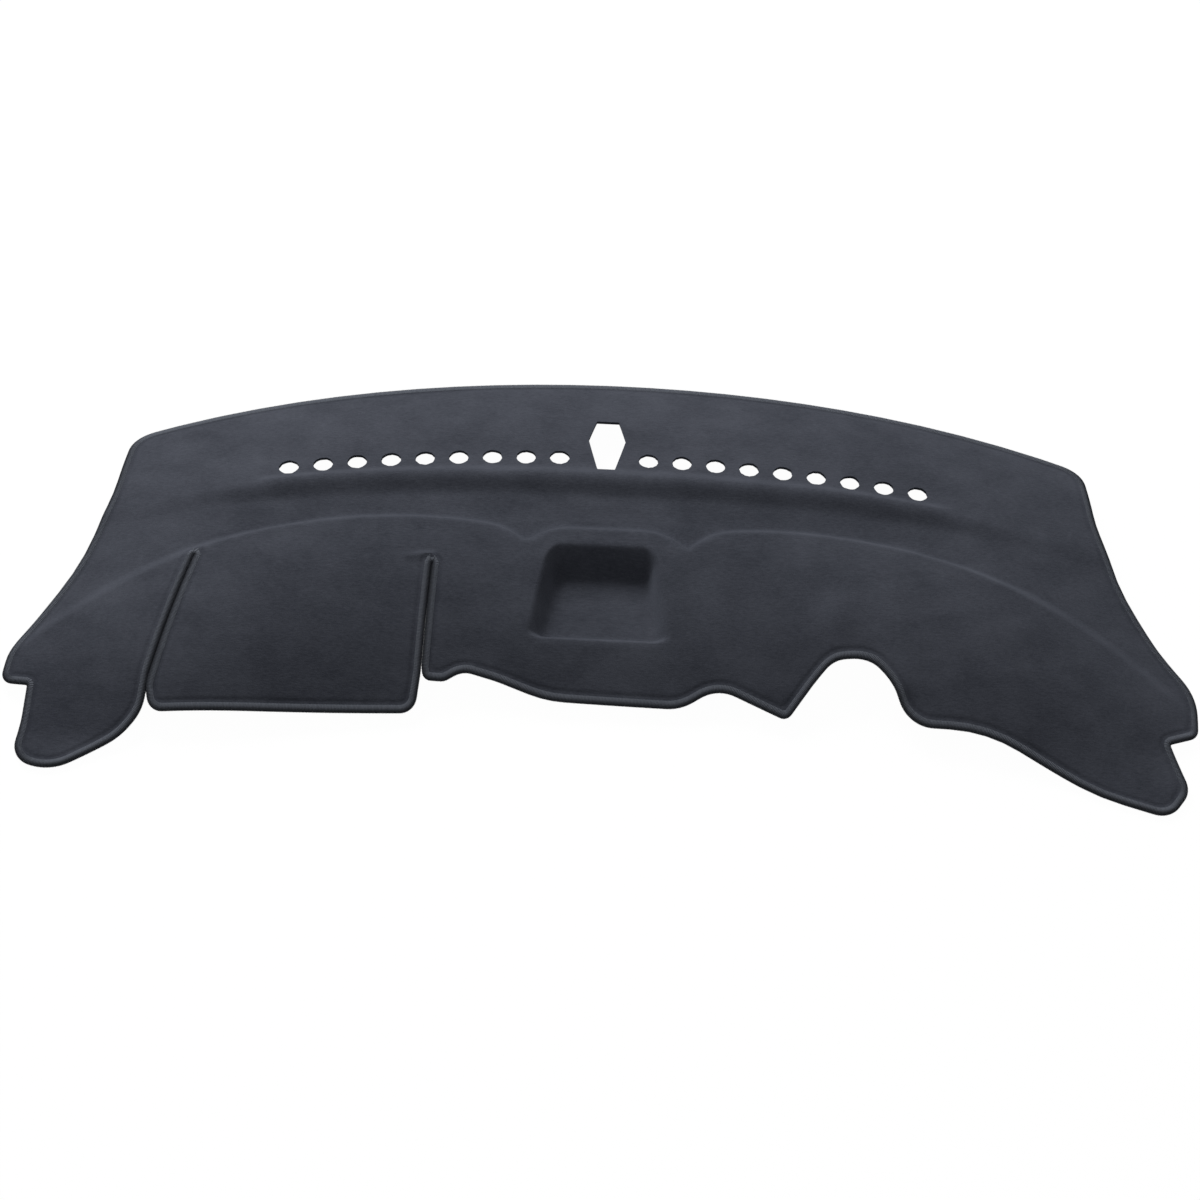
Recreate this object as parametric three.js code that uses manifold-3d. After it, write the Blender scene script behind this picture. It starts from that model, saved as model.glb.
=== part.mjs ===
import * as THREE from 'three';
import { mergeVertices } from 'three/addons/utils/BufferGeometryUtils.js';
import Module from 'manifold-3d';

// Moulded dashboard cover mat for a right-hand-drive car, in millimetres.
// +X runs along the dashboard, +Y points to the windscreen and +Z points up.
// While it is shaped, the middle of the tray lies at about x = 0, y = 0, and the table at z = 0.

// Carpet sheet and overlocked edge
const sheetThickness = 4.5;
const edgeWidth = 8.5;
const edgeOverhang = 2.2;
const edgeCover = 1.6;
const edgeClearance = 0.3;
const edgeBluntness = 0.5;

// Plan size
const matWidth = 1446;
const matDepth = 620;
const farPanelDepth = 153;
const windscreenRadius = 1900;
const windscreenShift = 17;
const windscreenCornerDrop = 16;
const cornerLeftInset = 108;
const cornerRightInset = 104;
const cornerRadius = 46;
const lobeReach = 249;
const lobeRoundness = 26;

// Dome: a rise away from the windscreen, then a roll down to the occupants
const riseSlope = 0.4;
const crownDistance = 300;
const rollDownCurvature = 0.0029;
const sideRollReach = 322;
const sideRollCurvature = 0.00115;
const sideRollRunIn = 260;
const tableEase = 12;
const tableEaseStart = 60;
const tableEaseEnd = 260;

// Trough with the demister holes and the step behind it
const ventLineFromBrow = 113;
const ventLineRadius = 2420;
const troughDepth = 5;
const troughFloorFar = 12;
const troughFloorNear = 15;
const troughFarWall = 14;
const troughNearWall = 22;
const troughEndRun = 29;
const troughEndRamp = 40;
const troughEndDraw = 0.27;
const lipHeight = 3;
const lipSlopeLength = 46;
const ventDiameter = 25;
const ventPitch = 43;
const ventsPerRow = 9;
const ventRowStart = 57;
const ventRowShift = -3;

// Raised brow over the driver's side, the tray and the passenger's side
const valleyDepth = 12;
const valleySideShare = 0.25;
const browHeight = 5;
const browRamp = 28;
const browMiddleDrop = 8;
const browLeft = { x: -230, radius: 600, endX: -150, endRadius: 90 };
const browMiddle = { x: 4, halfFlat: 45, endRadius: 61 };
const browRight = { x: 220, radius: 620, endX: 160, endRadius: 60 };
const browFadeStart = 450;
const browFadeEnd = 640;
const browSideShare = 0.1;

// Tray in the middle
const trayFar = 66;
const trayNear = -62;
const trayHalfNear = 84;
const trayTaper = 0.15;
const trayFarWall = 24;
const trayNearWall = 12;
const traySideWall = 20;
const trayFloorHeight = 36;

// Cut-out for the sensor between the demister rows
const sensorInset = 83;
const sensorFarPart = 36;
const sensorNearPart = 55;
const sensorHalfFar = 14.5;
const sensorHalfWidest = 24;
const sensorHalfNear = 11;
const sensorX = 0;

// Airbag flap between two slits
const slitClearance = 0.8;
const flapLeftInset = 188;
const leftSlitLean = 35;
const flapRight = -212;
const rightSlitLean = 4;
const slitTop = 30;
const flapNearLeft = -173;
const flapNearRight = -151;
const flapCornerRadius = 18;
const slitMouth = 42;
const slitMouthRadius = 30;

// Arch over the instrument cluster, with the ridge that runs up from it
const archX = 305;
const archTop = -66;
const archHalfWidth = 42;
const archFoot = -146;
const ridgeHeight = 5;
const ridgeWidth = 22;
const ridgeLength = 70;

// Mesh steps
const columnStep = 36;
const outlineStep = 36;
const arcStep = THREE.MathUtils.degToRad(30);
const windscreenSteps = 24;
const straightTurn = 0.01;
const cornerRoom = 0.48;
const gridMargin = 14;
const farPanelRows = 4;
const valleyRows = 2;
const rowGap = 4;
const nearRows = 8;
const farRowBend = 0.00048;
const nearRowBend = 0.0003;
const ventSides = 16;
const cutterBottom = -150;
const cutterHeight = 400;

const wasm = await Module();
wasm.setup();

const halfWidth = matWidth / 2;
const windscreenReach = matDepth - lobeReach;
const ventLineReach = windscreenReach - farPanelDepth;
const browReach = ventLineReach - ventLineFromBrow;
const troughLip = troughFloorNear + troughNearWall;
const troughHalfLength = ventRowStart + (ventsPerRow - 1) * ventPitch + troughEndRun;
const slitGap = slitClearance + 2 * edgeOverhang;
const flapLeft = flapLeftInset - halfWidth;
const restingTop = sheetThickness + edgeCover;
const smallCorner = edgeWidth + 0.5;
const notchRadius = edgeOverhang + 2.5;

function smooth(from, to, value) {
  return THREE.MathUtils.smoothstep(value, from, to);
}

function squared(value) {
  return value * value;
}

function windscreenY(x) {
  const run = x - windscreenShift;
  const cornerShare = squared(run / (halfWidth - cornerLeftInset));
  const cornerDrop = windscreenCornerDrop * squared(cornerShare);
  return windscreenReach - squared(run) / (2 * windscreenRadius) - cornerDrop;
}

function ventLineY(x) {
  return ventLineReach - squared(x) / (2 * ventLineRadius);
}

// The brow is three arches side by side. They meet in a cusp on each side of the tray.
function browLineY(x) {
  const middleRun = Math.max(0, Math.abs(x - browMiddle.x) - browMiddle.halfFlat);
  const middle = browReach - browMiddleDrop - squared(middleRun) / (2 * browMiddle.endRadius);
  const side = x < browMiddle.x ? browLeft : browRight;
  const inward = x < browMiddle.x ? x - side.endX : side.endX - x;
  const endDrop = squared(Math.max(0, inward)) / (2 * side.endRadius);
  const arch = browReach - squared(x - side.x) / (2 * side.radius) - endDrop;
  return Math.max(middle, arch);
}

function trayHalfWidth(y) {
  return trayHalfNear * (1 - trayTaper * THREE.MathUtils.clamp((y - trayNear) / (trayFar - trayNear), 0, 1));
}

function trayShare(x, y) {
  const side = (1 - Math.abs(x) / trayHalfWidth(y)) * trayHalfNear / traySideWall;
  const end = Math.min((trayFar - y) / trayFarWall, (y - trayNear) / trayNearWall);
  const outSide = Math.max(0, 1 - side);
  const outEnd = Math.max(0, 1 - end);
  return smooth(0, 1, 1 - Math.hypot(outSide, outEnd));
}

function domeHeight(x, y) {
  const distance = windscreenY(x) - y;
  const climb = Math.min(distance, crownDistance);
  const rise = riseSlope * climb * (1 - climb / (2 * crownDistance));
  const rollDown = 0.5 * rollDownCurvature * squared(Math.max(0, distance - crownDistance));
  const sideRun = Math.max(0, Math.abs(x) - (halfWidth - sideRollReach));
  const sideRoll = 0.5 * sideRollCurvature * squared(sideRun) * smooth(0, sideRollRunIn, distance);
  return restingTop + rise - rollDown - sideRoll;
}

// The lip draws closer to the holes towards both ends of the trough.
function lipDraw(x) {
  return 1 - troughEndDraw * smooth(0, troughHalfLength, Math.abs(x));
}

function troughHeight(x, y) {
  const toNear = ventLineY(x) - y;
  const draw = lipDraw(x);
  const lip = troughLip * draw;
  const pastEnd = Math.abs(x) - troughHalfLength;
  const alongIt = 1 - smooth(-troughEndRamp / 2, troughEndRamp / 2, pastEnd);
  const down = smooth(-troughFloorFar - troughFarWall, -troughFloorFar, toNear);
  const up = smooth(troughFloorNear * draw, lip, toNear);
  const slope = smooth(lip, lip + lipSlopeLength, toNear);
  return alongIt * (troughDepth * (up - down) + lipHeight * (up - slope));
}

function browStepHeight(x, y) {
  const toNear = ventLineY(x) - y;
  const step = smooth(-browRamp / 2, browRamp / 2, browLineY(x) - y);
  const outer = smooth(-troughEndRamp, 4 * troughEndRamp, Math.abs(x) - troughHalfLength);
  const valley = valleyDepth * THREE.MathUtils.lerp(1, valleySideShare, outer);
  const fade = THREE.MathUtils.lerp(1, browSideShare, smooth(browFadeStart, browFadeEnd, Math.abs(x)));
  const lip = troughLip * lipDraw(x);
  const behindLip = smooth(lip, lip + lipSlopeLength, toNear);
  return browHeight * fade * step - valley * behindLip * (1 - step);
}

function archRidgeHeight(x, y) {
  const across = (x - archX + ridgeWidth) / ridgeWidth;
  const along = 2 * (y - archTop) / ridgeLength - 1;
  return ridgeHeight * Math.exp(-squared(across) - squared(along));
}

// Height of the carpet's upper face over the table.
function topHeight(x, y) {
  const shaped = domeHeight(x, y) + troughHeight(x, y) + browStepHeight(x, y) + archRidgeHeight(x, y);
  const over = shaped - restingTop;
  const eased = 0.5 * (over + Math.hypot(over, tableEase));
  const share = smooth(tableEaseStart, tableEaseEnd, windscreenY(x) - y);
  const rested = restingTop + THREE.MathUtils.lerp(over, eased, share);
  return THREE.MathUtils.lerp(rested, trayFloorHeight, trayShare(x, y));
}

function surfaceNormal(x, y) {
  const slopeX = (topHeight(x + 1, y) - topHeight(x - 1, y)) / 2;
  const slopeY = (topHeight(x, y + 1) - topHeight(x, y - 1)) / 2;
  return new THREE.Vector3(-slopeX, -slopeY, 1).normalize();
}

function spread(from, to, steps) {
  return Array.from({ length: steps }, (_, i) => THREE.MathUtils.lerp(from, to, i / steps));
}

// Columns of the moulding grid: close at the tray walls, even elsewhere.
function gridColumns() {
  const floorHalf = trayHalfNear - traySideWall;
  const wall = [floorHalf, floorHalf + traySideWall / 2, trayHalfNear];
  const inner = [0, floorHalf / 3, 2 * floorHalf / 3, ...wall];
  const outerEnd = halfWidth + gridMargin;
  const outer = spread(trayHalfNear, outerEnd, Math.round((outerEnd - trayHalfNear) / columnStep)).slice(1);
  const right = [...inner, ...outer, outerEnd];
  const left = right.slice(1).reverse().map((x) => -x);
  return [...left, ...right];
}

// The grid narrows with the tray, and the change dies out beside it.
function columnX(nominal, y) {
  const calm = trayHalfNear + 4 * traySideWall;
  const share = 1 - smooth(trayHalfNear, calm, Math.abs(nominal));
  return nominal * THREE.MathUtils.lerp(1, trayHalfWidth(y) / trayHalfNear, share);
}

// Rows of the moulding grid follow the windscreen, the trough, the brow and the tray in turn.
function gridRows(x) {
  const beside = squared(Math.max(0, Math.abs(x) - trayHalfNear - 2 * traySideWall));
  const vent = ventLineY(x);
  const brow = browLineY(x);
  const far = Math.min(trayFar - farRowBend * beside, brow - browRamp / 2 - rowGap);
  const near = trayNear - nearRowBend * beside;
  const span = (near - far) / (trayNear - trayFar);
  const inTray = (y) => far + (y - trayFar) * span;
  const troughTop = vent + troughFloorFar + troughFarWall;
  const draw = lipDraw(x);
  const lip = vent - troughLip * draw;
  const slopeEnd = lip - lipSlopeLength;
  return [
    ...spread(windscreenY(x) + gridMargin, troughTop, farPanelRows),
    troughTop,
    vent + troughFloorFar,
    vent - troughFloorNear * draw,
    lip + troughNearWall * draw / 2,
    lip,
    lip - lipSlopeLength / 3,
    lip - 2 * lipSlopeLength / 3,
    ...spread(slopeEnd, brow + browRamp / 2, valleyRows),
    brow + browRamp / 2,
    brow + browRamp / 6,
    brow - browRamp / 6,
    brow - browRamp / 2,
    far,
    inTray(trayFar - trayFarWall / 3),
    inTray(trayFar - 2 * trayFarWall / 3),
    inTray(trayFar - trayFarWall),
    inTray((trayFar - trayFarWall + trayNear + trayNearWall) / 2),
    inTray(trayNear + trayNearWall),
    inTray(trayNear + trayNearWall / 2),
    ...spread(near, -lobeReach - gridMargin, nearRows),
    -lobeReach - gridMargin,
  ];
}

// A closed slab between the upper and the lower face of the carpet, larger than the mat in plan.
function slabGeometry(grow) {
  const columns = gridColumns();
  const rowCount = gridRows(0).length;
  const top = [];
  const bottom = [];
  for (const nominal of columns) {
    for (const y of gridRows(nominal)) {
      const x = columnX(nominal, y);
      const z = topHeight(x, y);
      top.push(x, y, z + grow);
      bottom.push(x, y, z - sheetThickness / surfaceNormal(x, y).z - grow);
    }
  }
  const under = columns.length * rowCount;
  const index = [];
  const quad = (a, b, c, d) => index.push(a, b, c, a, c, d);
  for (let i = 0; i < columns.length - 1; i += 1) {
    for (let j = 0; j < rowCount - 1; j += 1) {
      const a = i * rowCount + j;
      const b = a + rowCount;
      quad(a, a + 1, b + 1, b);
      quad(under + a, under + b, under + b + 1, under + a + 1);
    }
  }
  const lastColumn = (columns.length - 1) * rowCount;
  for (let j = 0; j < rowCount - 1; j += 1) {
    quad(j, under + j, under + j + 1, j + 1);
    quad(lastColumn + j, lastColumn + j + 1, under + lastColumn + j + 1, under + lastColumn + j);
  }
  for (let i = 0; i < columns.length - 1; i += 1) {
    const a = i * rowCount;
    const b = a + rowCount;
    quad(a, b, under + b, under + a);
    quad(a + rowCount - 1, under + a + rowCount - 1, under + b + rowCount - 1, b + rowCount - 1);
  }
  const geometry = new THREE.BufferGeometry();
  geometry.setAttribute('position', new THREE.Float32BufferAttribute([...top, ...bottom], 3));
  geometry.setIndex(index);
  return geometry;
}

// A corner of the outline: its place and the radius that it is rounded with.
function corner(x, y, radius = 0) {
  return { point: new THREE.Vector2(x, y), radius };
}

// Corners that stand out need room for the bead inside them, and corners that run in need room outside.
function roundedOutline(corners) {
  const points = [];
  corners.forEach((here, i) => {
    const before = corners[(i + corners.length - 1) % corners.length].point;
    const after = corners[(i + 1) % corners.length].point;
    const back = before.clone().sub(here.point);
    const ahead = after.clone().sub(here.point);
    const turn = Math.PI - Math.abs(back.angleTo(ahead));
    if (here.radius === 0 || turn < straightTurn) {
      points.push(here.point.clone());
      return;
    }
    const room = cornerRoom * Math.min(back.length(), ahead.length());
    const reach = Math.min(here.radius * Math.tan(turn / 2), room);
    const radius = reach / Math.tan(turn / 2);
    const start = here.point.clone().add(back.clone().setLength(reach));
    const inward = back.clone().normalize().add(ahead.clone().normalize()).normalize();
    const centre = here.point.clone().add(inward.multiplyScalar(Math.hypot(radius, reach)));
    const side = Math.sign(-back.cross(ahead));
    const steps = Math.max(1, Math.ceil(turn / arcStep));
    for (let k = 0; k <= steps; k += 1) {
      points.push(start.clone().rotateAround(centre, side * turn * k / steps));
    }
  });
  return points;
}

// Long straight stretches get more points, so that the bead can follow the moulding.
function withSteps(points) {
  return points.flatMap((point, i) => {
    const next = points[(i + 1) % points.length];
    const steps = Math.max(1, Math.ceil(point.distanceTo(next) / outlineStep));
    return spread(0, 1, steps).map((share) => point.clone().lerp(next, share));
  });
}

function windscreenEdge() {
  const right = halfWidth - cornerRightInset;
  const left = -halfWidth + cornerLeftInset;
  const xs = [right, ...spread(right, left, windscreenSteps).slice(1), left];
  return xs.map((x, i) => {
    const atCorner = i === 0 || i === xs.length - 1;
    return corner(x, windscreenY(x), atCorner ? cornerRadius : 0);
  });
}

// Down the left side: the flare, the lobe at the door, its notch and its tip.
function leftSide() {
  const side = -halfWidth;
  const tip = -lobeReach;
  return [
    corner(side + 103, windscreenReach - 231, 260),
    corner(side + 79, 30, 300),
    corner(side + 33, -52, 200),
    corner(side + 10, -88, 90),
    corner(side + 7, -133, 13),
    corner(side + 42, -139, notchRadius),
    corner(side + 42, tip + 61, 200),
    corner(side + 37, tip + 14, 30),
    corner(side + 84, tip + 1, 70),
    corner(side + flapLeftInset - 28, tip + 47, 120),
    corner(side + flapLeftInset - 6, flapNearLeft, 50),
  ];
}

// One slit: up on one side, round its end and down on the other.
function slit(nearX, lean, mouthLeft, mouthRight) {
  const half = slitGap / 2;
  return [
    corner(nearX - half, mouthLeft, slitMouthRadius),
    corner(nearX + lean - half, slitTop, half),
    corner(nearX + lean + half, slitTop, half),
    corner(nearX + half, mouthRight, slitMouthRadius),
  ];
}

// The occupants' side, from the airbag flap past the tray to the arch.
function nearEdge() {
  const archSide = archX + archHalfWidth;
  return [
    ...slit(flapLeft, leftSlitLean, flapNearLeft + slitMouth, flapNearLeft + slitMouth - 15),
    corner(flapLeft + 6, flapNearLeft, flapCornerRadius),
    corner(flapRight - 7, flapNearRight, flapCornerRadius),
    ...slit(flapRight, rightSlitLean, flapNearRight + slitMouth, flapNearRight + slitMouth + 9),
    corner(flapRight + 5, -114, smallCorner),
    corner(flapRight + 28, -114, 16),
    corner(flapRight + 50, -101, 60),
    corner(flapRight + 92, -110, 120),
    corner(-60, -128, 160),
    corner(102, -131, 60),
    corner(146, -106, 60),
    corner(archX - 75, archTop - 74, smallCorner),
    corner(archX - archHalfWidth, archTop - 30, 200),
    corner(archX - archHalfWidth / 2, archTop - 6, 90),
    corner(archX + archHalfWidth / 2, archTop - 2, 90),
    corner(archSide + 8, archTop - 30, 160),
    corner(archSide + 32, archFoot, 90),
    corner(halfWidth - 253, -152, 300),
    corner(halfWidth - 118, 28 - lobeReach, 300),
  ];
}

// Up the right side: the tip of the lobe, its notch and the flare.
function rightSide() {
  const side = halfWidth;
  const tip = -lobeReach;
  return [
    corner(side - 40, tip + 5, lobeRoundness),
    corner(side - 14, tip + 40, lobeRoundness),
    corner(side - 34, -148, notchRadius),
    corner(side + 3, -134, 13),
    corner(side + 8, -78, 110),
    corner(side - 36, -18, 260),
    corner(side - 76, 60, 320),
    corner(side - 99, windscreenReach - 211, 200),
  ];
}

function matOutline() {
  const corners = [...windscreenEdge(), ...leftSide(), ...nearEdge(), ...rightSide()];
  return withSteps(roundedOutline(corners));
}

// The outline moved outwards along its own normals.
function offsetOutline(points, distance) {
  return points.map((point, i) => {
    const before = points[(i + points.length - 1) % points.length];
    const after = points[(i + 1) % points.length];
    const along = after.clone().sub(before).normalize();
    return new THREE.Vector2(point.x + along.y * distance, point.y - along.x * distance);
  });
}

function prism(points) {
  const shape = new THREE.Shape(points);
  const geometry = new THREE.ExtrudeGeometry(shape, { depth: cutterHeight, bevelEnabled: false });
  geometry.translate(0, 0, cutterBottom);
  return geometry;
}

function solidOf(geometry) {
  const plain = geometry.clone();
  plain.deleteAttribute('normal');
  plain.deleteAttribute('uv');
  const merged = mergeVertices(plain, 1e-4);
  return new wasm.Manifold(new wasm.Mesh({
    numProp: 3,
    vertProperties: new Float32Array(merged.attributes.position.array),
    triVerts: new Uint32Array(merged.index.array),
  }));
}

function geometryOf(solid) {
  const mesh = solid.getMesh();
  const geometry = new THREE.BufferGeometry();
  geometry.setAttribute('position', new THREE.Float32BufferAttribute(mesh.vertProperties, 3));
  geometry.setIndex(new THREE.Uint32BufferAttribute(mesh.triVerts, 1));
  const faceted = geometry.toNonIndexed();
  faceted.computeVertexNormals();
  return faceted;
}

function ventCutters() {
  const geometries = [];
  for (let i = 0; i < ventsPerRow; i += 1) {
    for (const side of [-1, 1]) {
      const x = side * (ventRowStart + i * ventPitch) + ventRowShift;
      const cutter = new THREE.CylinderGeometry(ventDiameter / 2, ventDiameter / 2, cutterHeight, ventSides);
      cutter.rotateX(Math.PI / 2);
      cutter.translate(x, ventLineY(x), cutterBottom + cutterHeight / 2);
      geometries.push(cutter);
    }
  }
  return geometries;
}

function sensorCutter() {
  const far = windscreenReach - sensorInset;
  const widest = far - sensorFarPart;
  const near = widest - sensorNearPart;
  return prism([
    new THREE.Vector2(sensorX - sensorHalfFar, far),
    new THREE.Vector2(sensorX - sensorHalfWidest, widest),
    new THREE.Vector2(sensorX - sensorHalfNear, near),
    new THREE.Vector2(sensorX + sensorHalfNear, near),
    new THREE.Vector2(sensorX + sensorHalfWidest, widest),
    new THREE.Vector2(sensorX + sensorHalfFar, far),
  ]);
}

// The overlocked edge before the carpet is taken out of it: a rounded bead along the outline.
function beadGeometry(points) {
  const halfThickness = sheetThickness / 2 + edgeCover;
  const inner = edgeOverhang - edgeWidth;
  const section = [
    [edgeOverhang, -halfThickness * edgeBluntness],
    [edgeOverhang, halfThickness * edgeBluntness],
    [0, halfThickness],
    [inner, sheetThickness / 2],
    [inner, -sheetThickness / 2],
    [0, -halfThickness],
  ];
  const positions = [];
  points.forEach((point, i) => {
    const before = points[(i + points.length - 1) % points.length];
    const after = points[(i + 1) % points.length];
    const normal = surfaceNormal(point.x, point.y);
    const along = new THREE.Vector3(after.x - before.x, after.y - before.y, 0).normalize();
    const outward = along.clone().cross(new THREE.Vector3(0, 0, 1));
    outward.addScaledVector(normal, -outward.dot(normal)).normalize();
    const middle = new THREE.Vector3(point.x, point.y, topHeight(point.x, point.y));
    middle.addScaledVector(normal, -sheetThickness / 2);
    for (const [out, up] of section) {
      const place = middle.clone().addScaledVector(outward, out).addScaledVector(normal, up);
      positions.push(place.x, place.y, place.z);
    }
  });
  const sides = section.length;
  const index = [];
  for (let i = 0; i < points.length; i += 1) {
    const next = (i + 1) % points.length;
    for (let k = 0; k < sides; k += 1) {
      const a = i * sides + k;
      const b = i * sides + (k + 1) % sides;
      const c = next * sides + (k + 1) % sides;
      const d = next * sides + k;
      index.push(a, c, b, a, d, c);
    }
  }
  const geometry = new THREE.BufferGeometry();
  geometry.setAttribute('position', new THREE.Float32BufferAttribute(positions, 3));
  geometry.setIndex(index);
  return geometry;
}

const carpet = new THREE.MeshStandardMaterial({ color: 0x42444c, roughness: 0.96, metalness: 0 });
const yarn = new THREE.MeshStandardMaterial({ color: 0x3a3c44, roughness: 0.88, metalness: 0 });

function makeMat(outline) {
  let mat = solidOf(slabGeometry(0)).intersect(solidOf(prism(outline)));
  for (const cutter of [...ventCutters(), sensorCutter()]) {
    mat = mat.subtract(solidOf(cutter));
  }
  const mesh = new THREE.Mesh(geometryOf(mat), carpet);
  mesh.name = 'mat';
  return mesh;
}

function makeEdge(outline) {
  const roomForMat = solidOf(slabGeometry(edgeClearance))
    .intersect(solidOf(prism(offsetOutline(outline, edgeClearance))));
  const edge = solidOf(beadGeometry(outline)).subtract(roomForMat);
  const mesh = new THREE.Mesh(geometryOf(edge), yarn);
  mesh.name = 'edge_overlock';
  return mesh;
}

const outline = matOutline();
const coverMat = new THREE.Group();
coverMat.add(makeMat(outline), makeEdge(outline));

// The origin is the middle of the underside of the whole mat's box.
const box = new THREE.Box3().setFromObject(coverMat);
const middle = box.getCenter(new THREE.Vector3());
for (const mesh of coverMat.children) {
  mesh.position.set(-middle.x, -middle.y, -box.min.z);
}

export default coverMat;
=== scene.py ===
# %% [markdown]
# # A moulded dashboard cover mat
# The object is one sheet of charcoal needle-punched carpet. A hot press gives it the shape of a dashboard,
# then it is trimmed, punched and overlocked with yarn round its edge.
# The lesson follows the same order. A flat blank is cut first, its edge is sewn, and one formula moulds
# everything that was made flat, so that the sheet and its stitches can never come apart.

# %% Load the frame
import math

import bpy
import numpy as np
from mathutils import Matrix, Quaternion, Vector, kdtree


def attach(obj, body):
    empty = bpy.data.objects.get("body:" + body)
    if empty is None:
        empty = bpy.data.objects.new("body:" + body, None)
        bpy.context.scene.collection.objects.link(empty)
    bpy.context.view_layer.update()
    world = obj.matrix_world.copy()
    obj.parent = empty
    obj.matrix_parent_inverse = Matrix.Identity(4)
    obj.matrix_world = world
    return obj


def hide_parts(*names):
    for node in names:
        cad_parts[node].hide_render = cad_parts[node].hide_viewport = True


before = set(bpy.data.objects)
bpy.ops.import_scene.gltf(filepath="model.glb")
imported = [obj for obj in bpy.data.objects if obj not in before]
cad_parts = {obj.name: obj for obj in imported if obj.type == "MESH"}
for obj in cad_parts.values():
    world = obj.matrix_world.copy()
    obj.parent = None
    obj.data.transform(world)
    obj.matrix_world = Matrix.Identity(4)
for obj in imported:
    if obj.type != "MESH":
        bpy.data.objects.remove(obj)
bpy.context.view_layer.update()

# %% [markdown]
# ## Sizes
# Every size is in metres and has a name. Most sizes are those of the CAD solids. The tray's walls and the
# slopes beside the trough are longer here, because the photograph shows them softer.
# +X runs along the dashboard, +Y points to the windscreen and +Z points up.
# While the mat is shaped, the middle of its tray lies at about x = 0, y = 0. A shift at the end puts it in
# the frame.

# %% Carpet, edge and plan
carpet_thickness = 0.0045
edge_width = 0.0085
edge_overhang = 0.0022
edge_cover = 0.0016
slit_clearance = 0.0008

mat_width = 1.446
far_panel_depth = 0.153
windscreen_radius = 1.9
windscreen_shift = 0.017
windscreen_corner_drop = 0.016
corner_left_inset = 0.108
corner_right_inset = 0.104
corner_radius = 0.046
lobe_reach = 0.249
lobe_roundness = 0.026
shift_to_frame = Vector((-0.0067, -0.06375, -0.00044))

half_width = mat_width / 2
resting_top = carpet_thickness + edge_cover
print("Mat width", mat_width, "and carpet", carpet_thickness, "thick")

# %% Dome, trough, brow and tray
rise_slope = 0.4
crown_distance = 0.3
roll_down_curvature = 2.9
side_roll_reach = 0.322
side_roll_curvature = 1.15
side_roll_run_in = 0.26
table_ease = 0.012
table_ease_start = 0.06
table_ease_end = 0.26

vent_line_radius = 2.42
trough_depth = 0.005
trough_floor_far = 0.006
trough_floor_near = 0.015
trough_far_wall = 0.062
trough_lip = 0.037
trough_end_ramp = 0.04
trough_end_draw = 0.27
lip_height = 0.003
lip_steep_length = 0.03
lip_steep_share = 0.55
lip_slope_length = 0.062
vent_diameter = 0.025
vent_pitch = 0.043
vents_per_row = 9
vent_row_start = 0.057
vent_row_shift = -0.003
trough_half_length = vent_row_start + (vents_per_row - 1) * vent_pitch + 0.029

valley_depth = 0.016
valley_side_share = 0.25
brow_height = 0.006
brow_ramp = 0.024
brow_reach = 0.105
brow_middle_drop = 0.008
brow_fade_start = 0.45
brow_fade_end = 0.64
brow_side_share = 0.1
brow_middle_x = 0.004
brow_middle_flat = 0.045
brow_middle_radius = 0.061
brow_left_x = -0.23
brow_left_radius = 0.6
brow_left_end = -0.15
brow_left_end_radius = 0.09
brow_right_x = 0.22
brow_right_radius = 0.62
brow_right_end = 0.16
brow_right_end_radius = 0.06

tray_far = 0.066
tray_near = -0.062
tray_half_near = 0.09
tray_taper = 0.25
tray_far_wall = 0.029
tray_near_wall = 0.012
tray_side_wall = 0.024
tray_floor_height = 0.036

vent_line_reach = brow_reach + 0.113
windscreen_reach = vent_line_reach + far_panel_depth
print("Demister line at", round(vent_line_reach, 3), "and windscreen at", round(windscreen_reach, 3))

# %% Flap, arch and sensor cut-out
flap_left = 0.188 - half_width
flap_right = -0.212
left_slit_lean = 0.035
right_slit_lean = 0.004
slit_top = 0.03
flap_near_left = -0.173
flap_near_right = -0.151
slit_mouth = 0.042
slit_mouth_radius = 0.03
left_mouth_offset = -0.015
right_mouth_offset = 0.009
slit_gap = slit_clearance + 2 * edge_overhang

arch_x = 0.305
arch_top = -0.066
arch_foot = -0.146
arch_half_width = 0.042
ridge_height = 0.005
ridge_width = 0.022
ridge_length = 0.07

sensor_inset = 0.083
sensor_far_part = 0.036
sensor_near_part = 0.055
sensor_half_far = 0.0145
sensor_half_widest = 0.024
sensor_half_near = 0.011
print("Flap from", round(flap_left, 3), "to", flap_right)

# %% [markdown]
# ## The mould
# A press tool is two matching surfaces, so the whole shape is one height over the table at each x and y.
# Sculpting by hand could give the same look, but a formula repeats, and it keeps every piece on the same
# surface. NumPy works on all points at once, so moulding them takes only a moment.

# %% Lines that the mould follows
def smooth(start, end, value):
    """From 0 at start to 1 at end, with no corner at either."""
    share = np.clip((value - start) / (end - start), 0, 1)
    return share * share * (3 - 2 * share)


def blend(first, second, share):
    return first + (second - first) * share


def windscreen_y(x):
    run = x - windscreen_shift
    corner_share = run / (half_width - corner_left_inset)
    return windscreen_reach - run ** 2 / (2 * windscreen_radius) - windscreen_corner_drop * corner_share ** 4


def vent_line_y(x):
    return vent_line_reach - x ** 2 / (2 * vent_line_radius)


def brow_side(x, middle, radius, end_inward, end_radius):
    end_drop = np.maximum(0, end_inward) ** 2 / (2 * end_radius)
    return brow_reach - (x - middle) ** 2 / (2 * radius) - end_drop


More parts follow.
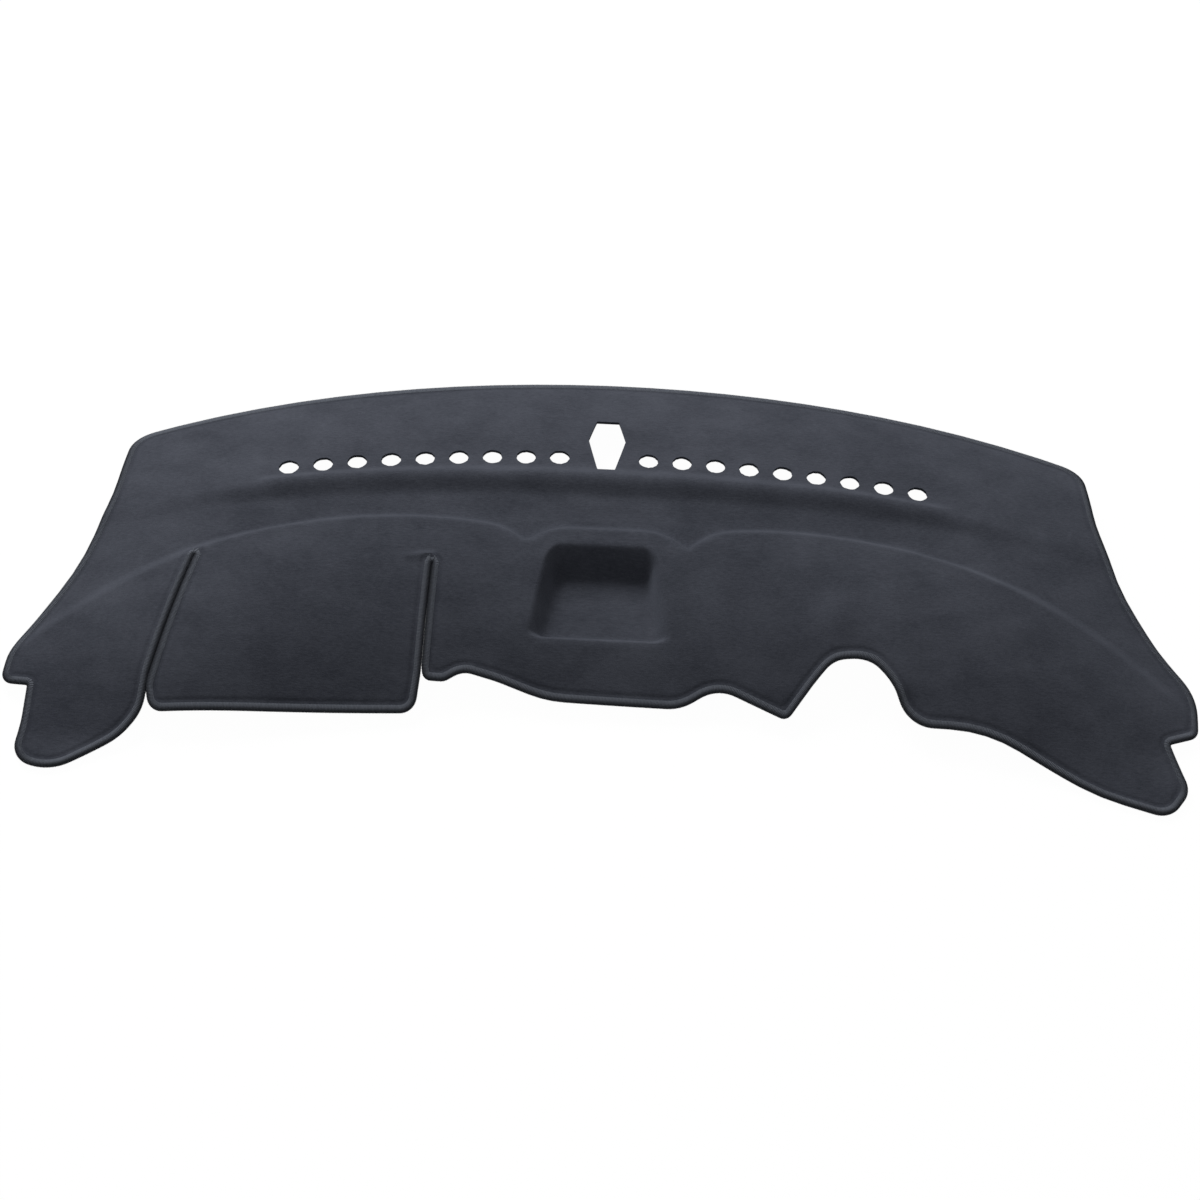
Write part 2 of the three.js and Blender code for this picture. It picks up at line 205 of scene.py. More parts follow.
def brow_line_y(x):
    """Three arches side by side, which meet in a cusp on each side of the tray."""
    middle_run = np.maximum(0, np.abs(x - brow_middle_x) - brow_middle_flat)
    middle = brow_reach - brow_middle_drop - middle_run ** 2 / (2 * brow_middle_radius)
    left = brow_side(x, brow_left_x, brow_left_radius, x - brow_left_end, brow_left_end_radius)
    right = brow_side(x, brow_right_x, brow_right_radius, brow_right_end - x, brow_right_end_radius)
    return np.maximum(middle, np.where(x < brow_middle_x, left, right))


print("Windscreen line at the ends:", [round(float(windscreen_y(x)), 4) for x in (-0.6, 0.0, 0.6)])

# %% Forms that the mould presses
def tray_half_width(y):
    return tray_half_near * (1 - tray_taper * np.clip((y - tray_near) / (tray_far - tray_near), 0, 1))


def tray_share(x, y):
    side = (1 - np.abs(x) / tray_half_width(y)) * tray_half_near / tray_side_wall
    end = np.minimum((tray_far - y) / tray_far_wall, (y - tray_near) / tray_near_wall)
    return smooth(0, 1, 1 - np.hypot(np.maximum(0, 1 - side), np.maximum(0, 1 - end)))


def dome_height(x, y):
    distance = windscreen_y(x) - y
    climb = np.minimum(distance, crown_distance)
    rise = rise_slope * climb * (1 - climb / (2 * crown_distance))
    roll_down = 0.5 * roll_down_curvature * np.maximum(0, distance - crown_distance) ** 2
    side_run = np.maximum(0, np.abs(x) - (half_width - side_roll_reach))
    side_roll = 0.5 * side_roll_curvature * side_run ** 2 * smooth(0, side_roll_run_in, distance)
    return resting_top + rise - roll_down - side_roll


def lip_draw(x):
    """The lip draws closer to the holes towards both ends of the trough."""
    return 1 - trough_end_draw * smooth(0, trough_half_length, np.abs(x))


def lip_fall(to_near, lip):
    """Behind the lip the carpet drops steeply at first and then gently, as far as the brow."""
    steep = smooth(lip, lip + lip_steep_length, to_near)
    gentle = smooth(lip, lip + lip_slope_length, to_near)
    return blend(gentle, steep, lip_steep_share)


def trough_height(x, y):
    to_near = vent_line_y(x) - y
    lip = trough_lip * lip_draw(x)
    past_end = np.abs(x) - trough_half_length
    along = 1 - smooth(-trough_end_ramp / 2, trough_end_ramp / 2, past_end)
    down = smooth(-trough_floor_far - trough_far_wall, -trough_floor_far, to_near)
    up = smooth(trough_floor_near * lip_draw(x), lip, to_near)
    return along * (trough_depth * (up - down) + lip_height * (up - lip_fall(to_near, lip)))


def brow_height_at(x, y):
    to_near = vent_line_y(x) - y
    step = smooth(-brow_ramp / 2, brow_ramp / 2, brow_line_y(x) - y)
    outer = smooth(-trough_end_ramp, 4 * trough_end_ramp, np.abs(x) - trough_half_length)
    valley = valley_depth * blend(1, valley_side_share, outer)
    fade = blend(1, brow_side_share, smooth(brow_fade_start, brow_fade_end, np.abs(x)))
    lip = trough_lip * lip_draw(x)
    return brow_height * fade * step - valley * lip_fall(to_near, lip) * (1 - step)


def ridge_height_at(x, y):
    across = (x - arch_x + ridge_width) / ridge_width
    along = 2 * (y - arch_top) / ridge_length - 1
    return ridge_height * np.exp(-across ** 2 - along ** 2)


print("Crown of the dome:", round(float(dome_height(0.0, windscreen_reach - crown_distance)), 4))

# %% [markdown]
# A real pressing also carries small accidents. The slits pull a short crease at their tops, a thumb leaves
# a soft wrinkle, and the sheet is never quite even.
# Each crease is a low ridge along a line, and the unevenness is a sum of long waves.

# %% Creases and unevenness
# Each crease has a start, an end, a height and a width.
crease_fade = 0.8
creases = [
    ((-0.2085, 0.0375), (-0.244, 0.0350), 0.0052, 0.0045),
    ((-0.4995, 0.0375), (-0.4780, 0.0330), 0.0030, 0.0045),
    ((0.395, -0.016), (0.475, -0.006), 0.0007, 0.0060),
    ((0.130, 0.052), (0.190, 0.044), 0.0005, 0.0060),
    ((0.364, -0.104), (0.300, -0.006), 0.0050, 0.0140),
]
wave_count = 14
wave_height = 0.0022
wave_run_in = 0.08
chance = np.random.default_rng(11)
wave_headings = chance.uniform(0, math.pi, wave_count)
wave_lengths = chance.uniform(0.05, 0.2, wave_count)
wave_phases = chance.uniform(0, 2 * math.pi, wave_count)


def crease_height(x, y, start, end, height, width):
    """A low rounded ridge along one short line."""
    run_x, run_y = end[0] - start[0], end[1] - start[1]
    share = ((x - start[0]) * run_x + (y - start[1]) * run_y) / (run_x ** 2 + run_y ** 2)
    share = np.clip(share, 0, 1)
    gap = np.hypot(x - start[0] - share * run_x, y - start[1] - share * run_y)
    return height * (1 - crease_fade * share) * np.exp(-(gap / width) ** 2)


def unevenness(x, y):
    total = np.zeros_like(x)
    for heading, length, phase in zip(wave_headings, wave_lengths, wave_phases):
        across = x * math.cos(heading) + y * math.sin(heading)
        total += length * np.sin(2 * math.pi * across / length + phase)
    return wave_height * total / wave_count


print("Creases:", len(creases), "and long waves:", wave_count)

# %% The whole mould
def top_height(x, y):
    """Height of the carpet's upper face over the table."""
    x, y = np.asarray(x, float), np.asarray(y, float)
    shaped = dome_height(x, y) + trough_height(x, y) + brow_height_at(x, y) + ridge_height_at(x, y)
    over = shaped - resting_top
    eased = 0.5 * (over + np.hypot(over, table_ease))
    share = smooth(table_ease_start, table_ease_end, windscreen_y(x) - y)
    rested = resting_top + blend(over, eased, share)
    height = blend(rested, tray_floor_height, tray_share(x, y))
    for crease in creases:
        height = height + crease_height(x, y, *crease)
    return height + unevenness(x, y) * smooth(0, wave_run_in, windscreen_y(x) - y)


def top_normal(x, y, step=0.001):
    slope_x = (top_height(x + step, y) - top_height(x - step, y)) / (2 * step)
    slope_y = (top_height(x, y + step) - top_height(x, y - step)) / (2 * step)
    normal = np.stack([-slope_x, -slope_y, np.ones_like(slope_x)], axis=-1)
    return normal / np.linalg.norm(normal, axis=-1, keepdims=True)


print("Tray floor height:", round(float(top_height(0.0, 0.0)), 4))

# %% [markdown]
# ## The outline
# The mat is trimmed to an outline with a rounded corner at each turn: lobes at the doors with a notch,
# two narrow slits that free the airbag flap, and an arch over the instruments.
# The outline is a list of corners with a radius each, and each one becomes a short arc of points.

# %% Rounded corners
arc_step = math.radians(6)
outline_step = 0.003
small_corner = edge_width + 0.0005
notch_radius = edge_overhang + 0.0025
corner_room = 0.48
straight_turn = 0.01


def rounded(corners):
    """Points along a closed outline of (x, y, radius) corners."""
    points = []
    for i, (x, y, radius) in enumerate(corners):
        here = Vector((x, y))
        back = Vector(corners[i - 1][:2]) - here
        ahead = Vector(corners[(i + 1) % len(corners)][:2]) - here
        turn = math.pi - back.angle(ahead)
        if radius == 0 or turn < straight_turn:
            points.append(here)
            continue
        reach = min(radius * math.tan(turn / 2), corner_room * min(back.length, ahead.length))
        arc_radius = reach / math.tan(turn / 2)
        inward = (back.normalized() + ahead.normalized()).normalized()
        centre = here + inward * math.hypot(arc_radius, reach)
        spoke = here + back.normalized() * reach - centre
        side = math.copysign(1, ahead.x * back.y - ahead.y * back.x)
        steps = max(1, math.ceil(turn / arc_step))
        for k in range(steps + 1):
            angle = side * turn * k / steps
            points.append(centre + Vector((
                spoke.x * math.cos(angle) - spoke.y * math.sin(angle),
                spoke.x * math.sin(angle) + spoke.y * math.cos(angle),
            )))
    return np.array([tuple(p) for p in points])


def evenly(points, step):
    """The same closed line with points about a step apart."""
    ring = np.vstack([points, points[:1]])
    lengths = np.concatenate([[0], np.cumsum(np.linalg.norm(np.diff(ring, axis=0), axis=1))])
    places = np.linspace(0, lengths[-1], round(lengths[-1] / step), endpoint=False)
    return np.stack([np.interp(places, lengths, ring[:, axis]) for axis in (0, 1)], axis=1)


# %% Corners, counter-clockwise from the windscreen
def slit(near_x, lean, mouth_left, mouth_right):
    """A narrow slit with parallel sides, from its mouth up to its top."""
    half = slit_gap / 2
    right_shift = lean * (mouth_right - mouth_left) / (slit_top - mouth_left)
    return [
        (near_x - half, mouth_left, slit_mouth_radius),
        (near_x + lean - half, slit_top, half),
        (near_x + lean + half, slit_top, half),
        (near_x + right_shift + half, mouth_right, slit_mouth_radius),
    ]


windscreen_points = 25
windscreen_x = np.linspace(half_width - corner_right_inset, corner_left_inset - half_width, windscreen_points)
windscreen_edge = [(x, float(windscreen_y(x)), 0) for x in windscreen_x]
windscreen_edge[0] = (*windscreen_edge[0][:2], corner_radius)
windscreen_edge[-1] = (*windscreen_edge[-1][:2], corner_radius)
left, right, tip = -half_width, half_width, -lobe_reach
arch_side = arch_x + arch_half_width
left_mouth = flap_near_left + slit_mouth
right_mouth = flap_near_right + slit_mouth
left_side = [
    (left + 0.103, 0.14, 0.26), (left + 0.079, 0.03, 0.3), (left + 0.033, -0.052, 0.2),
    (left + 0.01, -0.088, 0.09), (left + 0.007, -0.133, 0.013), (left + 0.042, -0.139, notch_radius),
    (left + 0.042, tip + 0.061, 0.2), (left + 0.037, tip + 0.014, 0.03), (left + 0.084, tip + 0.001, 0.07),
    (flap_left - 0.028, tip + 0.047, 0.12), (flap_left - 0.006, flap_near_left, 0.05),
]
near_edge = [
    *slit(flap_left, left_slit_lean, left_mouth, left_mouth + left_mouth_offset),
    (flap_left + 0.006, flap_near_left, 0.018), (flap_right - 0.007, flap_near_right, 0.018),
    *slit(flap_right, right_slit_lean, right_mouth, right_mouth + right_mouth_offset),
    (flap_right + 0.005, -0.114, small_corner), (flap_right + 0.028, -0.114, 0.016),
    (flap_right + 0.05, -0.101, 0.06), (flap_right + 0.092, -0.11, 0.12), (-0.06, -0.128, 0.16),
    (0.102, -0.131, 0.06), (0.146, -0.106, 0.06), (arch_x - 0.075, arch_top - 0.074, small_corner),
    (arch_x - arch_half_width, arch_top - 0.03, 0.2), (arch_x - arch_half_width / 2, arch_top - 0.006, 0.09),
    (arch_x + arch_half_width / 2, arch_top - 0.002, 0.09), (arch_side + 0.008, arch_top - 0.03, 0.16),
    (arch_side + 0.032, arch_foot, 0.09), (right - 0.253, -0.152, 0.3), (right - 0.118, tip + 0.028, 0.3),
]
right_side = [
    (right - 0.04, tip + 0.005, lobe_roundness), (right - 0.014, tip + 0.04, lobe_roundness),
    (right - 0.034, -0.148, notch_radius), (right + 0.003, -0.134, 0.013), (right + 0.008, -0.078, 0.11),
    (right - 0.036, -0.018, 0.26), (right - 0.076, 0.06, 0.32), (right - 0.099, 0.16, 0.2),
]
outline = evenly(rounded([*windscreen_edge, *left_side, *near_edge, *right_side]), outline_step)
edge_length = np.linalg.norm(np.roll(outline, -1, axis=0) - outline, axis=1).sum()
print("Outline points:", len(outline), "and length of the sewn edge:", round(edge_length, 2), "m")

# %% [markdown]
# ## The flat blank
# A blank is cut from the roll as a flat sheet. A grid primitive is the start, and its rows and columns are
# slid until they follow the trough, the brow and the tray, where the mould bends the carpet most.
# A grid with equal squares could work too, but it would need many more faces for the same tray walls.

# %% Helpers for objects
def select_only(obj):
    bpy.ops.object.select_all(action="DESELECT")
    obj.select_set(True)
    bpy.context.view_layer.objects.active = obj


def named(name):
    obj = bpy.context.active_object
    obj.name = name
    obj.data.name = name
    return obj


def points_of(obj):
    flat = np.empty(len(obj.data.vertices) * 3)
    obj.data.vertices.foreach_get("co", flat)
    return flat.reshape(-1, 3)


def set_points(obj, points):
    obj.data.vertices.foreach_set("co", np.ascontiguousarray(points, float).ravel())
    obj.data.update()


def apply_modifier(obj, kind, **settings):
    select_only(obj)
    bpy.ops.object.modifier_add(type=kind)
    modifier = obj.modifiers[-1]
    for name, value in settings.items():
        setattr(modifier, name, value)
    bpy.ops.object.modifier_apply(modifier=modifier.name)


bpy.ops.object.select_all(action="DESELECT")
print("CAD nodes:", sorted(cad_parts))

# %% Columns and rows of the blank
margin = 0.014
row_gap = 0.004
row_bend_far = 0.48
row_bend_near = 0.3
ramp_row_share = 0.6
wall_room = 0.002
left_slit_band = (-0.512, -0.476)
right_slit_band = (-0.252, -0.2)


def stations(*parts):
    """Places along a line, from (start, steps) pairs and a last end."""
    *spans, end = parts
    starts = [start for start, _ in spans]
    places = []
    for (start, steps), stop in zip(spans, [*starts[1:], end]):
        places.extend(np.linspace(start, stop, steps, endpoint=False))
    return np.array([*places, end])


wall = tray_half_near + wall_room
floor_end = tray_half_near - tray_side_wall - wall_room
outer_end = half_width + margin
columns = stations(
    (-outer_end, 38), (left_slit_band[0], 11), (left_slit_band[1], 37), (right_slit_band[0], 17),
    (right_slit_band[1], 19), (-wall, 7), (-floor_end, 22), (floor_end, 7), (wall, 108), outer_end,
)


def rows_at(x):
    """Rows from the windscreen to the near edge along one column."""
    beside = max(0, abs(x) - tray_half_near - 2 * tray_side_wall) ** 2
    vent = float(vent_line_y(x))
    brow = float(brow_line_y(x))
    ramp = brow_ramp * ramp_row_share
    far = min(tray_far - row_bend_far * beside, brow - ramp - row_gap)
    near = tray_near - row_bend_near * beside
    share = (near - far) / (tray_near - tray_far)
    floor_far = far - tray_far_wall * share
    floor_near = near + tray_near_wall * share
    lip = vent - trough_lip * float(lip_draw(x))
    return stations(
        (float(windscreen_y(x)) + margin, 16), (vent + trough_floor_far + trough_far_wall, 11),
        (vent + trough_floor_far, 6), (vent - trough_floor_near * float(lip_draw(x)), 7), (lip, 8),
        (lip - lip_steep_length, 7), (brow + ramp, 11), (brow - ramp, 4), (far, 10),
        (floor_far, 18), (floor_near, 6), (near, 30), -lobe_reach - margin,
    )


row_count = len(rows_at(0.0))
print("Columns:", len(columns), "rows:", row_count)

# %% The grid becomes the blank
bpy.ops.mesh.primitive_grid_add(x_subdivisions=len(columns) - 1, y_subdivisions=row_count - 1, size=1)
carpet = named("carpet_mat")
grid = points_of(carpet)
column_index = np.rint((grid[:, 0] + 0.5) * (len(columns) - 1)).astype(int)
row_index = np.rint((0.5 - grid[:, 1]) * (row_count - 1)).astype(int)
rows = np.array([rows_at(x) for x in columns])
nominal = columns[column_index]
grid[:, 1] = rows[column_index, row_index]
beside_tray = 1 - smooth(tray_half_near, tray_half_near + 4 * tray_side_wall, np.abs(nominal))
grid[:, 0] = nominal * blend(1, tray_half_width(grid[:, 1]) / tray_half_near, beside_tray)
set_points(carpet, grid)
apply_modifier(carpet, "SOLIDIFY", thickness=carpet_thickness, offset=-1)
print("Blank:", len(carpet.data.polygons), "faces")

# %% [markdown]
# ## Trimming and punching
# The outline is cut with a Boolean, which is the press knife of the real factory.
# The knife is a ring of points that is filled and extruded, and the punches are cylinders.
# All this happens while the sheet is flat, so that the cutters are simple upright prisms.

# %% Cut the outline
knife_reach = 0.02


def cutter_from(points, name):
    """An upright prism over a closed outline."""
    bpy.ops.mesh.primitive_circle_add(vertices=len(points), radius=1, fill_type="NGON")
    cutter = named(name)
    set_points(cutter, np.column_stack([points, np.full(len(points), -knife_reach)]))
    bpy.ops.object.mode_set(mode="EDIT")
    bpy.ops.mesh.select_all(action="SELECT")
    bpy.ops.mesh.extrude_region_move(TRANSFORM_OT_translate={"value": (0, 0, 2 * knife_reach)})
    bpy.ops.mesh.select_all(action="SELECT")
    bpy.ops.mesh.normals_make_consistent(inside=False)
    bpy.ops.object.mode_set(mode="OBJECT")
    return cutter


def cut(obj, cutter, operation):
    apply_modifier(obj, "BOOLEAN", object=cutter, operation=operation, solver="MANIFOLD")
    bpy.data.objects.remove(cutter)


cut(carpet, cutter_from(outline, "trimming_knife"), "INTERSECT")
print("Trimmed:", len(carpet.data.polygons), "faces")

# %% Punch the demister holes and the sensor cut-out
punch_points = 28
punch_raggedness = 0.0004
ragged = np.random.default_rng(5)


def punch(x, y):
    """A hole in felt is never a clean circle, so each point of the punch is off by a little."""
    angles = np.linspace(0, 2 * math.pi, punch_points, endpoint=False)
    radius = vent_diameter / 2 + ragged.uniform(-punch_raggedness, punch_raggedness, punch_points)
    return np.column_stack([x + radius * np.cos(angles), y + radius * np.sin(angles)])


for number in range(vents_per_row):
    for side in (-1, 1):
        vent_x = side * (vent_row_start + number * vent_pitch) + vent_row_shift
        cut(carpet, cutter_from(punch(vent_x, float(vent_line_y(vent_x))), "punch"), "DIFFERENCE")

sensor_far = windscreen_reach - sensor_inset
sensor_widest = sensor_far - sensor_far_part
sensor_near = sensor_widest - sensor_near_part
sensor = np.array([
    (sensor_half_far, sensor_far), (-sensor_half_far, sensor_far), (-sensor_half_widest, sensor_widest),
    (-sensor_half_near, sensor_near), (sensor_half_near, sensor_near), (sensor_half_widest, sensor_widest),
])
cut(carpet, cutter_from(sensor, "sensor_punch"), "DIFFERENCE")
print("Punched:", 2 * vents_per_row, "holes and the sensor cut-out,", len(carpet.data.polygons), "faces")

# %% [markdown]
# ## The overlocked edge
# Yarn wraps the cut edge in tight slanting loops, so the edge reads as a soft rounded bead.
# The bead is a section swept along the outline, with one ring of points for each place on the outline.
# One loop of yarn is modelled once and copied along the edge. A bump map alone would lose the silhouette.

# %% Sweep the bead
def curve_from(points, name, closed):
    """A straight-stepped curve through points."""
    data = bpy.data.curves.new(name, "CURVE")
    data.dimensions = "3D"
    line = data.splines.new("POLY")
    line.points.add(len(points) - 1)
    for point, place in zip(line.points, points):
        point.co = (*place, 1)
    line.use_cyclic_u = closed
    obj = bpy.data.objects.new(name, data)
    bpy.context.collection.objects.link(obj)
    return obj


middle_depth = -carpet_thickness / 2
side_start = -0.0030
side_end = 0.0008
# Each pair says how far out of the trimmed edge a point lies, and how high over the carpet's upper face.
upper_half = [
    (-0.0062, 0.0001), (-0.0050, 0.0007), (-0.0030, 0.0012),
    (-0.0008, 0.0012), (0.0010, 0.0005), (0.0021, -0.0009),
]
section = [
    *upper_half,
    (0.0025, middle_depth),
    *[(out, 2 * middle_depth - up) for out, up in reversed(upper_half)],
]


def swept_bead(section_points):
    """The section lies across the edge: its first number points out of the mat and its second up."""
    count = len(section_points)
    along = np.roll(outline, -1, axis=0) - np.roll(outline, 1, axis=0)
    along /= np.linalg.norm(along, axis=1, keepdims=True)
    outward = np.column_stack([along[:, 1], -along[:, 0]])
    rings = [
        np.column_stack([outline + outward * out, np.full(len(outline), up)]) for out, up in section_points
    ]
    points = np.stack(rings, axis=1).reshape(-1, 3)
    faces = []
    for i in range(len(outline)):
        here, there = i * count, (i + 1) % len(outline) * count
        for k in range(count):
            k_next = (k + 1) % count
            faces.append((here + k, here + k_next, there + k_next, there + k))
    mesh = bpy.data.meshes.new("edge_bead")
    mesh.from_pydata(points.tolist(), [], faces)
    obj = bpy.data.objects.new("edge_bead", mesh)
    bpy.context.collection.objects.link(obj)
    return obj


def mark(obj, name, values):
    """Keeps one number on each point, for the material."""
    attribute = obj.data.attributes.new(name, "FLOAT", "POINT")
    attribute.data.foreach_set("value", np.asarray(values, float))


def side_share(out):
    """From 0 on top of the bead to 1 on its outer side, which the yarn's colour paints as shade."""
    return smooth(side_start, side_end, np.asarray(out))


bead = swept_bead(section)
mark(bead, "outer_side_shade", np.tile(side_share([out for out, _ in section]), len(outline)))
print("Bead:", len(bead.data.polygons), "faces")

# %% One loop of yarn
yarn_radius = 0.0005
# Each point says how far it lies along the edge, out of it and up.
loop_half = [
    (0.0009, -0.0064, 0.0), (0.0007, -0.0050, 0.0008), (0.0004, -0.0030, 0.0013), (0.0002, -0.0008, 0.0013),
    (0.0001, 0.0010, 0.0006), (0.0, 0.0020, -0.0008),
]
loop_points = [
    *loop_half,
    (0.0, 0.0025, middle_depth),
    *[(-along, out, 2 * middle_depth - up) for along, out, up in reversed(loop_half)],
]
loop = curve_from(loop_points, "yarn_loop", closed=False)
loop.data.bevel_depth = yarn_radius
loop.data.bevel_resolution = 0
loop.data.use_fill_caps = True
select_only(loop)
bpy.ops.object.convert(target="MESH")
loop = named("yarn_loop")
print("One loop:", len(loop.data.polygons), "faces")

# %% Copies of the loop along the edge
loop_pitch = 0.0017
stations_along = evenly(outline, loop_pitch)
heading = np.roll(stations_along, -1, axis=0) - np.roll(stations_along, 1, axis=0)
heading /= np.linalg.norm(heading, axis=1, keepdims=True)
outward = np.column_stack([heading[:, 1], -heading[:, 0]])
one = points_of(loop)
flat_xy = (
    stations_along[:, None, :]
    + heading[:, None, :] * one[None, :, 0:1]
    + outward[:, None, :] * one[None, :, 1:2]
)
height = np.broadcast_to(one[None, :, 2:3], (*flat_xy.shape[:2], 1))
all_points = np.concatenate([flat_xy, height], axis=2).reshape(-1, 3)
loop_faces = [tuple(face.vertices) for face in loop.data.polygons]
all_faces = [
    tuple(v + copy * len(one) for v in face) for copy in range(len(stations_along)) for face in loop_faces
]
mesh = bpy.data.meshes.new("edge_yarn")
mesh.from_pydata(all_points.tolist(), [], all_faces)
yarn = bpy.data.objects.new("edge_yarn", mesh)
bpy.context.collection.objects.link(yarn)
bpy.data.objects.remove(loop)
mark(yarn, "yarn_tone", np.repeat(np.random.default_rng(3).uniform(0, 1, len(stations_along)), len(one)))
mark(yarn, "outer_side_shade", np.tile(side_share(one[:, 1]), len(stations_along)))
print("Loops:", len(stations_along), "faces:", len(all_faces))

# %% [markdown]
# ## Moulding
# Now the flat pieces go into the mould. The upper face goes to the height of the formula, and the lower face
# stays a carpet's thickness under it. The edge keeps its own round section, square to the surface.
# Each point of the sheet also keeps its distance from the edge, and the material uses it later.

# %% Press the sheet and its edge
def press_sheet(obj):
    points = points_of(obj)
    x, y, depth = points[:, 0], points[:, 1], -points[:, 2]
    points[:, 2] = top_height(x, y) - depth / top_normal(x, y)[:, 2]
    set_points(obj, points + np.array(shift_to_frame))


def press_edge(obj):
    points = points_of(obj)
    x, y, up = points[:, 0], points[:, 1], points[:, 2:3].copy()
    points[:, 2] = top_height(x, y)
    set_points(obj, points + top_normal(x, y) * up + np.array(shift_to_frame))


tree = kdtree.KDTree(len(outline))
for i, place in enumerate(outline):
    tree.insert((*place, 0), i)
tree.balance()
edge_distance = [tree.find((p[0], p[1], 0))[2] for p in points_of(carpet)]
mark(carpet, "edge_distance", edge_distance)

press_sheet(carpet)
press_edge(bead)
press_edge(yarn)
for piece in (carpet, bead, yarn):
    select_only(piece)
    bpy.ops.object.mode_set(mode="EDIT")
    bpy.ops.mesh.select_all(action="SELECT")
    bpy.ops.mesh.normals_make_consistent(inside=False)
    bpy.ops.object.mode_set(mode="OBJECT")
    bpy.ops.object.shade_smooth_by_angle(angle=math.radians(50))
lowest = [round(float(points_of(piece)[:, 2].min()), 4) for piece in (carpet, bead, yarn)]
print("Lowest point of each piece:", lowest)

# %% [markdown]
# ## Shader maths in Python
# A material is a tree of nodes. Written node by node it is long and hard to read, so one small class
# wraps a socket, and Python's own operators add the Math nodes.

# %% The Wire class
class Wire:
    """A node tree, and one socket in it that gives a value."""

    def __init__(self, tree, socket=None):
        self.tree = tree
        self.socket = socket

    def node(self, kind, settings=None, inputs=None, output=0):
        """Adds any node: its type, then its settings, then the values or wires of its sockets."""
        made = self.tree.nodes.new("ShaderNode" + kind)
        for name, value in (settings or {}).items():
            setattr(made, name, value)
        for name, value in (inputs or {}).items():
            if isinstance(value, Wire):
                self.tree.links.new(value.socket, made.inputs[name])
            else:
                made.inputs[name].default_value = value
        return Wire(self.tree, made.outputs[output] if len(made.outputs) else None)

    def math(self, operation, first, second):
        return self.node("Math", {"operation": operation}, {0: first, 1: second})

    def __add__(self, other):
        return self.math("ADD", self, other)

    def __radd__(self, other):
        return self.math("ADD", other, self)

    def __sub__(self, other):
        return self.math("SUBTRACT", self, other)

    def __rsub__(self, other):
        return self.math("SUBTRACT", other, self)

    def __mul__(self, other):
        return self.math("MULTIPLY", self, other)

    def __rmul__(self, other):
        return self.math("MULTIPLY", other, self)

    def __truediv__(self, other):
        return self.math("DIVIDE", self, other)

    def __pow__(self, other):
        return self.math("POWER", self, other)

    def noise(self, scale, detail=2.0, roughness=0.5):
        """Noise on these coordinates, at a scale for each axis."""
        scaled = self.node("VectorMath", {"operation": "MULTIPLY"}, {0: self, 1: scale})
        inputs = {"Vector": scaled, "Scale": 1.0, "Detail": detail, "Roughness": roughness}
        return self.node("TexNoise", None, inputs)

    def between(self, first, second):
        """A colour between two colours, by this value."""
        settings = {"data_type": "RGBA", "clamp_factor": True}
        return self.node("Mix", settings, {0: self, 6: (*first, 1), 7: (*second, 1)}, output=2)


def new_material(name, **constants):
    material = bpy.data.materials.new(name)
    material.use_nodes = True
    surface = material.node_tree.nodes["Principled BSDF"]
    for socket, value in constants.items():
        surface.inputs[socket.replace("_", " ")].default_value = value
    return material, surface, Wire(material.node_tree)


print("Wire has", len([name for name in dir(Wire) if not name.startswith("__")]), "named parts")

# %% [markdown]
# ## Needle-punched carpet
# Barbed needles push polyester fibres through each other until they hold as felt. The fibres lie mostly along
# the roll, which shows as fine streaks along X. The pile scatters light, so the surface is matt and a little
# lighter where it is seen at a low angle. Just inside the sewn edge the yarn pulls the felt down into a
# groove, and the colour along that groove is darkened as painted shade.

# %% The carpet's finish
groove_distance = 0.0095
groove_width = 0.0028
euler_number = 2.718
carpet_material, surface, wire = new_material(
    "charcoal_needle_felt", Specular_IOR_Level=0.1, Sheen_Weight=0.12, Sheen_Roughness=0.6,
    Sheen_Tint=(0.75, 0.82, 1.0, 1.0),
)
place = wire.node("TexCoord", output="Object")
fibres = place.noise((150, 520, 520), 3.0, 0.6)
grain = place.noise((900, 900, 900), 1.0)
cloudy = place.noise((14, 20, 20), 3.0, 0.6)
blotches = place.noise((4, 5, 5), 1.0)
from_edge = wire.node("Attribute", {"attribute_name": "edge_distance"}, output="Fac")
pull = ((from_edge - groove_distance) / groove_width) ** 2.0
groove_and_painted_shade = wire.math("POWER", euler_number, pull * -1.0)
uneven = (fibres - 0.5) * 1.1 + (grain - 0.5) * 0.9 + (cloudy - 0.5) * 1.2 + (blotches - 0.5) * 0.6
# The groove lowers the tone here as painted shade; in the relief below it is a real bump.
tone = 0.5 + uneven - groove_and_painted_shade * 0.2
colour = tone.between((0.029, 0.032, 0.042), (0.069, 0.074, 0.092))
relief = fibres * 0.00018 + grain * 0.00022 - groove_and_painted_shade * 0.0006
bump = wire.node("Bump", None, {"Strength": 1.0, "Distance": 1.0, "Height": relief})
roughness = 0.9 + (grain - 0.5) * 0.15
for wired, socket in ((colour, "Base Color"), (roughness, "Roughness"), (bump, "Normal")):
    wire.tree.links.new(wired.socket, surface.inputs[socket])
carpet.data.materials.clear()
carpet.data.materials.append(carpet_material)
print("Carpet nodes:", len(wire.tree.nodes))
